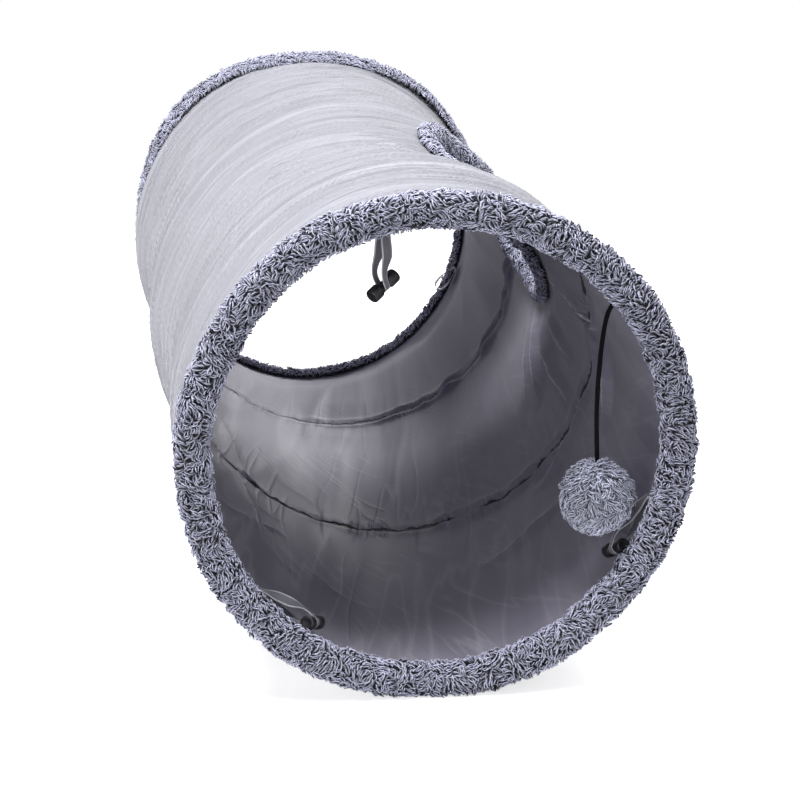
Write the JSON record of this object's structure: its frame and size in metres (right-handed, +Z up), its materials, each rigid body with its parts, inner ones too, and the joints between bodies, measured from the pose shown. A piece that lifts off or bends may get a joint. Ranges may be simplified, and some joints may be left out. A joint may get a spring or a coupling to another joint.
{
  "type": "collapsible pet play tunnel",
  "caption": "Cloth play tunnel on a coiled spring wire, with plush-bound mouths, a plush-edged peephole, a hanging pompom and toggles that tie it flat.",
  "frame": {"origin": "on the floor, under the middle of the tunnel's length and width", "axes": "+Y along the tunnel from the near mouth, which carries the pompom and the toggles, to the far mouth; +Z up"},
  "size_m": [0.329, 0.8784, 0.3278],
  "materials": {
    "binding_plush": "curly two-tone pile",
    "peephole_plush": "curly two-tone pile",
    "pompom_pile": "trimmed pile",
    "suede_cloth": "brushed faux suede",
    "lining_cloth": "thin satin, wrinkled",
    "coil_tape": "woven tape",
    "elastic_cord": "braided elastic",
    "satin_ribbon": "satin",
    "toggle_plastic": "moulded, semi-matt",
    "spring_steel": "drawn wire"
  },
  "bodies": {
    "near_mouth": {"near_binding": "binding_plush", "near_hoop": "spring_steel", "outer_cloth": "suede_cloth", "lining": "lining_cloth", "coil_wire": "spring_steel", "coil_tape": "coil_tape", "peephole_edge": "peephole_plush"},
    "far_mouth": {"far_binding": "binding_plush", "far_hoop": "spring_steel"},
    "cord": {"pompom_cord": "elastic_cord"},
    "pompom": {"pompom": "pompom_pile"},
    "top_loop": {"top_loop": "satin_ribbon"},
    "left_loop": {"left_loop": "satin_ribbon"},
    "right_loop": {"right_loop": "satin_ribbon"},
    "top_toggle": {"top_toggle": "toggle_plastic"},
    "left_toggle": {"left_toggle": "toggle_plastic"},
    "right_toggle": {"right_toggle": "toggle_plastic"},
    "far_top_loop": {"far_top_loop": "satin_ribbon"},
    "far_left_loop": {"far_left_loop": "satin_ribbon"},
    "far_right_loop": {"far_right_loop": "satin_ribbon"}
  },
  "joints": [
    {"name": "tunnel_fold", "type": "slide", "parent": "near_mouth", "child": "far_mouth", "axis": [0, -1, 0], "range_m": [0, 0.745], "stiffness_N_per_m": 5, "springref_m": -0.05, "deforming": ["outer_cloth", "lining", "coil_wire", "coil_tape", "peephole_edge"]},
    {"name": "cord_swing", "type": "hinge", "parent": "near_mouth", "child": "cord", "pos_m": [0.11632, -0.41724, 0.25418], "axis": [1, 0, 0], "range_deg": [-60, 60], "deforming": ["pompom_cord"]},
    {"name": "pompom_swing", "type": "hinge", "parent": "cord", "child": "pompom", "pos_m": [0.10602, -0.41224, 0.14418], "axis": [1, 0, 0], "range_deg": [-40, 40]},
    {"name": "top_loop_swing", "type": "hinge", "parent": "near_mouth", "child": "top_loop", "pos_m": [-0.03331, -0.41, 0.30758], "axis": [1, 0, 0], "range_deg": [-45, 45]},
    {"name": "left_loop_swing", "type": "hinge", "parent": "near_mouth", "child": "left_loop", "pos_m": [-0.11299, -0.4044, 0.0668], "axis": [0.5655, 0, 0.8247], "range_deg": [-4, 45]},
    {"name": "right_loop_swing", "type": "hinge", "parent": "near_mouth", "child": "right_loop", "pos_m": [0.14229, -0.4044, 0.12115], "axis": [0.8545, 0, -0.5194], "range_deg": [-4, 45]},
    {"name": "top_toggle_tip", "type": "hinge", "parent": "top_loop", "child": "top_toggle", "pos_m": [-0.03331, -0.41, 0.26658], "axis": [0.6, -0.8, 0], "range_deg": [-70, 10], "deforming": ["top_loop"]},
    {"name": "left_toggle_tip", "type": "hinge", "parent": "left_loop", "child": "left_toggle", "pos_m": [-0.07918, -0.4044, 0.04361], "axis": [0.5655, 0, 0.8247], "range_deg": [-10, 70], "deforming": ["left_loop"]},
    {"name": "right_toggle_tip", "type": "hinge", "parent": "right_loop", "child": "right_toggle", "pos_m": [0.12099, -0.4044, 0.08612], "axis": [0.8545, 0, -0.5194], "range_deg": [-10, 70], "deforming": ["right_loop"]},
    {"name": "far_top_loop_swing", "type": "hinge", "parent": "far_mouth", "child": "far_top_loop", "pos_m": [-0.03345, 0.41, 0.30819], "axis": [-1, 0, 0], "range_deg": [-45, 45]},
    {"name": "far_left_loop_swing", "type": "hinge", "parent": "far_mouth", "child": "far_left_loop", "pos_m": [-0.11267, 0.41, 0.06707], "axis": [-0.4103, 0, -0.9119], "range_deg": [-10, 45]},
    {"name": "far_right_loop_swing", "type": "hinge", "parent": "far_mouth", "child": "far_right_loop", "pos_m": [0.14204, 0.41, 0.12123], "axis": [-0.7443, 0, 0.6679], "range_deg": [-10, 45]}
  ]
}
